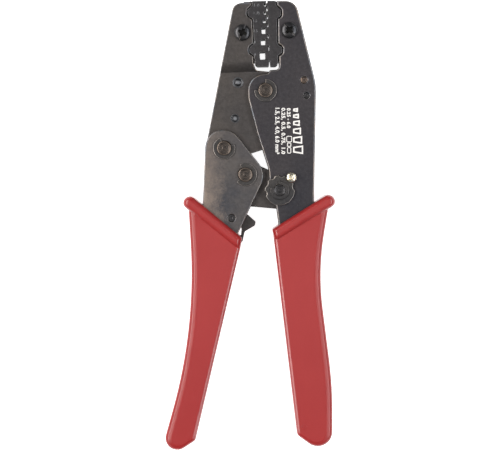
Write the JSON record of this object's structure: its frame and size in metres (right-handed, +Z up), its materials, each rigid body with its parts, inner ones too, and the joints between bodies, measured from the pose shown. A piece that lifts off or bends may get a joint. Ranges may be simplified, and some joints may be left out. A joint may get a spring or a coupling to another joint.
{
  "type": "ratchet hand crimping tool",
  "caption": "Ratchet hand crimper for wire-end ferrules: two stamped steel jaws with toothed dies, a toggle link with a sprung pawl, and two moulded grips.",
  "frame": {"origin": "middle of the underside of the whole tool's box, as it lies on its back", "axes": "+Y along the tool towards the jaws, +X towards the fixed handle's side, +Z up out of the front face"},
  "size_m": [0.0834, 0.2202, 0.02],
  "materials": {
    "black_steel": "satin black oxide on stamped steel, lighter along the rolled edges",
    "die_steel": "fine-grained matt black oxide",
    "pin_steel": "turned steel with a bronze-brown oxide",
    "nickel": "bright nickel plate",
    "spring_steel": "drawn spring wire",
    "red_vinyl": "moulded vinyl, half matt, with fine grain"
  },
  "bodies": {
    "frame": {"frame_plate_front": "black_steel", "frame_plate_back": "black_steel", "frame_spacer": "black_steel", "frame_tang_spacer": "black_steel", "frame_rivets": "pin_steel", "frame_spring_post": "pin_steel", "fixed_die": "die_steel", "fixed_die_screw": "black_steel", "main_pivot_pin": "pin_steel", "main_pivot_clip": "black_steel", "adjuster_pin": "pin_steel", "adjuster_wheel": "black_steel", "adjuster_clip": "black_steel", "adjuster_lock_screw": "nickel", "fixed_grip": "red_vinyl", "return_spring": "spring_steel"},
    "jaw": {"jaw_plate_front": "black_steel", "jaw_plate_back": "black_steel", "jaw_spacer": "black_steel", "jaw_eye_washer": "black_steel", "jaw_rivet": "pin_steel", "jaw_spring_post": "pin_steel", "moving_die": "die_steel", "moving_die_screw": "black_steel"},
    "handle": {"handle_plate_front": "black_steel", "handle_plate_back": "black_steel", "handle_tang_spacer": "black_steel", "handle_rivets": "pin_steel", "handle_pin": "pin_steel", "handle_pin_clip": "black_steel", "toggle_pin": "pin_steel", "toggle_pin_clip": "black_steel", "pawl_pin": "pin_steel", "pawl_spring_post": "pin_steel", "pawl_spring": "spring_steel", "moving_grip": "red_vinyl"},
    "link": {"link_plate_front": "black_steel", "link_plate_back": "black_steel", "link_ratchet_plate": "die_steel", "link_rivets": "pin_steel"},
    "pawl": {"pawl": "die_steel"}
  },
  "joints": [
    {"name": "jaw_pivot", "type": "hinge", "parent": "frame", "child": "jaw", "pos_m": [0.00755, 0.0665, 0.01], "axis": [0, 0, 1], "range_deg": [-0.7, 10.9], "deforming": ["return_spring"]},
    {"name": "handle_pivot", "type": "hinge", "parent": "jaw", "child": "handle", "pos_m": [-0.01265, 0.0383, 0.01], "axis": [0, 0, -1], "range_deg": [-2.5, 40]},
    {"name": "link_pivot", "type": "hinge", "parent": "handle", "child": "link", "pos_m": [-0.00225, 0.0254, 0.01], "axis": [0, 0, 1], "range_deg": [-3.3, 52.5]},
    {"name": "pawl_pivot", "type": "hinge", "parent": "handle", "child": "pawl", "pos_m": [-0.00905, 0.0041, 0.01], "axis": [0, 0, -1], "range_deg": [0, 10], "stiffness_Nm_per_rad": 0.02, "springref_deg": -20.05, "deforming": ["pawl_spring"]}
  ],
  "couplings": [
    {"joint": "jaw_pivot", "follows": "handle_pivot", "ratio": 0.27},
    {"joint": "link_pivot", "follows": "handle_pivot", "ratio": 1.31}
  ]
}
